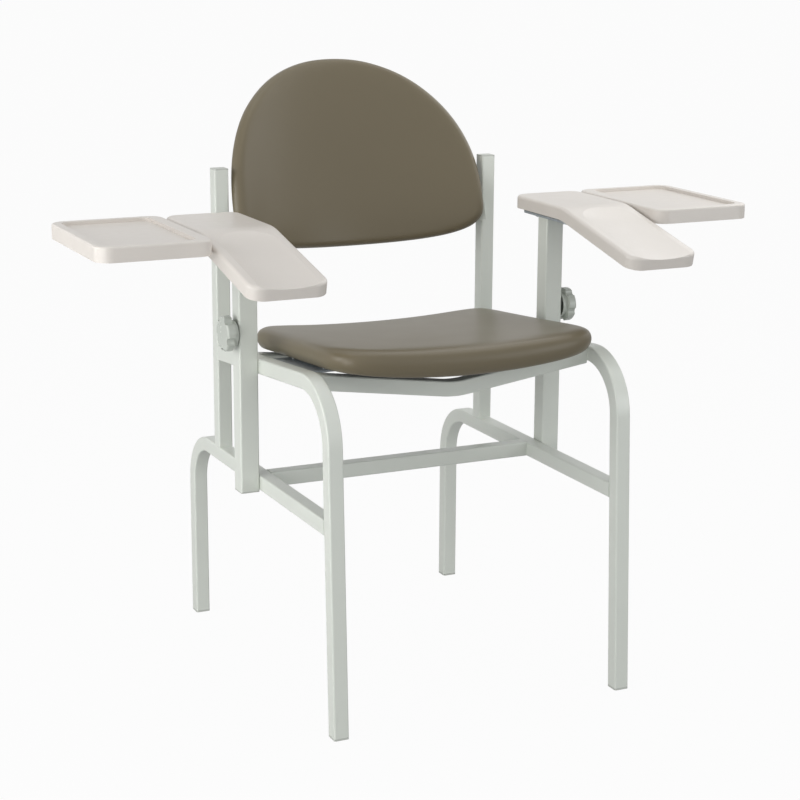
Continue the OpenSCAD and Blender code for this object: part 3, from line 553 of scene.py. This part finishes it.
# Each light's name, place, side, power and colour
LIGHTS = [
    ("key_left", (-2.6, -0.6, 1.5), 1.4, 7.7, WHITE),
    ("left_low", (-1.6, -0.7, 0.4), 1.0, 9.4, WHITE),
    ("left_side", (-1.8, 0.3, 0.9), 1.0, 10.5, WHITE),
    ("front_right", (1.3, -1.7, 0.7), 0.8, 4.5, (0.96, 0.98, 1.0)),
    ("right_tray_top", (0.9, 0.1, 1.4), 1.3, 6.3, WHITE),
    ("overhead", (0.0, 0.3, 2.6), 1.4, 5.8, WHITE),
]


def make_camera():
    a, e, r = CAMERA_YAW, CAMERA_DIP, CAMERA_ROLL
    ahead = Vector((math.sin(a) * math.cos(e), math.cos(a) * math.cos(e), -math.sin(e)))
    right = Vector((math.cos(a), -math.sin(a), 0))
    up = right.cross(ahead)
    right, up = right * math.cos(r) + up * math.sin(r), up * math.cos(r) - right * math.sin(r)
    data = bpy.data.cameras.new("camera")
    data.lens = CAMERA_LENS
    data.sensor_width = CAMERA_SENSOR
    data.clip_start, data.clip_end = CAMERA_NEAR, CAMERA_FAR
    cam = bpy.data.objects.new("camera", data)
    turn = Matrix((right, up, -ahead)).transposed().to_4x4()
    cam.matrix_world = Matrix.Translation(CAMERA_PLACE) @ turn
    bpy.context.scene.collection.objects.link(cam)
    bpy.context.scene.camera = cam


def math_node(tree, operation, *values, clamp=False):
    node = tree.nodes.new("ShaderNodeMath")
    node.operation = operation
    node.use_clamp = clamp
    for socket, value in zip(node.inputs, values):
        if isinstance(value, float):
            socket.default_value = value
        else:
            tree.links.new(value, socket)
    return node.outputs[0]


def show_white(tree, lit, white, camera, mirrored, output):
    """Mixes a lit shader with white, by the share that the camera, and gloss and glass, see."""
    path = tree.nodes.new("ShaderNodeLightPath")
    mirror = math_node(tree, "MAXIMUM", path.outputs["Is Glossy Ray"],
                       path.outputs["Is Transmission Ray"])
    mirror = math_node(tree, "MULTIPLY", mirror, mirrored)
    share = math_node(tree, "MULTIPLY_ADD", path.outputs["Is Camera Ray"], camera, mirror)
    mix = tree.nodes.new("ShaderNodeMixShader")
    for socket, value in zip(mix.inputs, (share, lit.outputs[0], white.outputs[0])):
        tree.links.new(value, socket)
    tree.links.new(mix.outputs[0], output.inputs["Surface"])


def make_floor():
    h = FLOOR_HALF
    floor = new_object("floor", [(-h, -h, 0), (h, -h, 0), (h, h, 0), (-h, h, 0)], [(0, 1, 2, 3)])
    mat = bpy.data.materials.new("floor_white")
    mat.use_nodes = True
    tree = mat.node_tree
    bsdf = tree.nodes["Principled BSDF"]
    bsdf.inputs["Base Color"].default_value = (FLOOR_ALBEDO, FLOOR_ALBEDO, FLOOR_ALBEDO, 1)
    bsdf.inputs["Roughness"].default_value = FLOOR_ROUGHNESS
    bsdf.inputs["Specular IOR Level"].default_value = 0.0
    white = tree.nodes.new("ShaderNodeEmission")
    white.inputs["Color"].default_value = (*WHITE, 1)
    white.inputs["Strength"].default_value = 1.0
    show_white(tree, bsdf, white, FLOOR_WHITE_SHARE, FLOOR_MIRROR_SHARE,
               tree.nodes["Material Output"])
    set_material(floor, mat)


def make_world():
    """A world that lights from the front and from above."""
    world = bpy.data.worlds.new("studio")
    bpy.context.scene.world = world
    world.use_nodes = True
    tree = world.node_tree
    tree.nodes.clear()
    coord = tree.nodes.new("ShaderNodeTexCoord")
    axes = tree.nodes.new("ShaderNodeSeparateXYZ")
    tree.links.new(coord.outputs["Generated"], axes.inputs[0])
    front = math_node(tree, "MULTIPLY", axes.outputs["Y"], WORLD_FRONT, clamp=True)
    top = math_node(tree, "MULTIPLY", axes.outputs["Z"], WORLD_TOP, clamp=True)
    light = tree.nodes.new("ShaderNodeBackground")
    light.inputs["Color"].default_value = (*WORLD_COLOUR, 1)
    tree.links.new(math_node(tree, "ADD", front, top), light.inputs["Strength"])
    white = tree.nodes.new("ShaderNodeBackground")
    white.inputs["Color"].default_value = (*WHITE, 1)
    show_white(tree, light, white, WORLD_WHITE_SHARE, WORLD_MIRROR_SHARE,
               tree.nodes.new("ShaderNodeOutputWorld"))


def area_light(name, place, side, power, colour):
    data = bpy.data.lights.new(name, "AREA")
    data.shape = "SQUARE"
    data.size = side
    data.energy = power
    data.color = colour
    obj = bpy.data.objects.new(name, data)
    obj.location = place
    obj.rotation_mode = "QUATERNION"
    obj.rotation_quaternion = (LIGHT_TARGET - Vector(place)).to_track_quat("-Z", "Y")
    bpy.context.scene.collection.objects.link(obj)


make_camera()
make_floor()
make_world()
for light in LIGHTS:
    area_light(*light)
bpy.context.scene.view_settings.view_transform = "Standard"
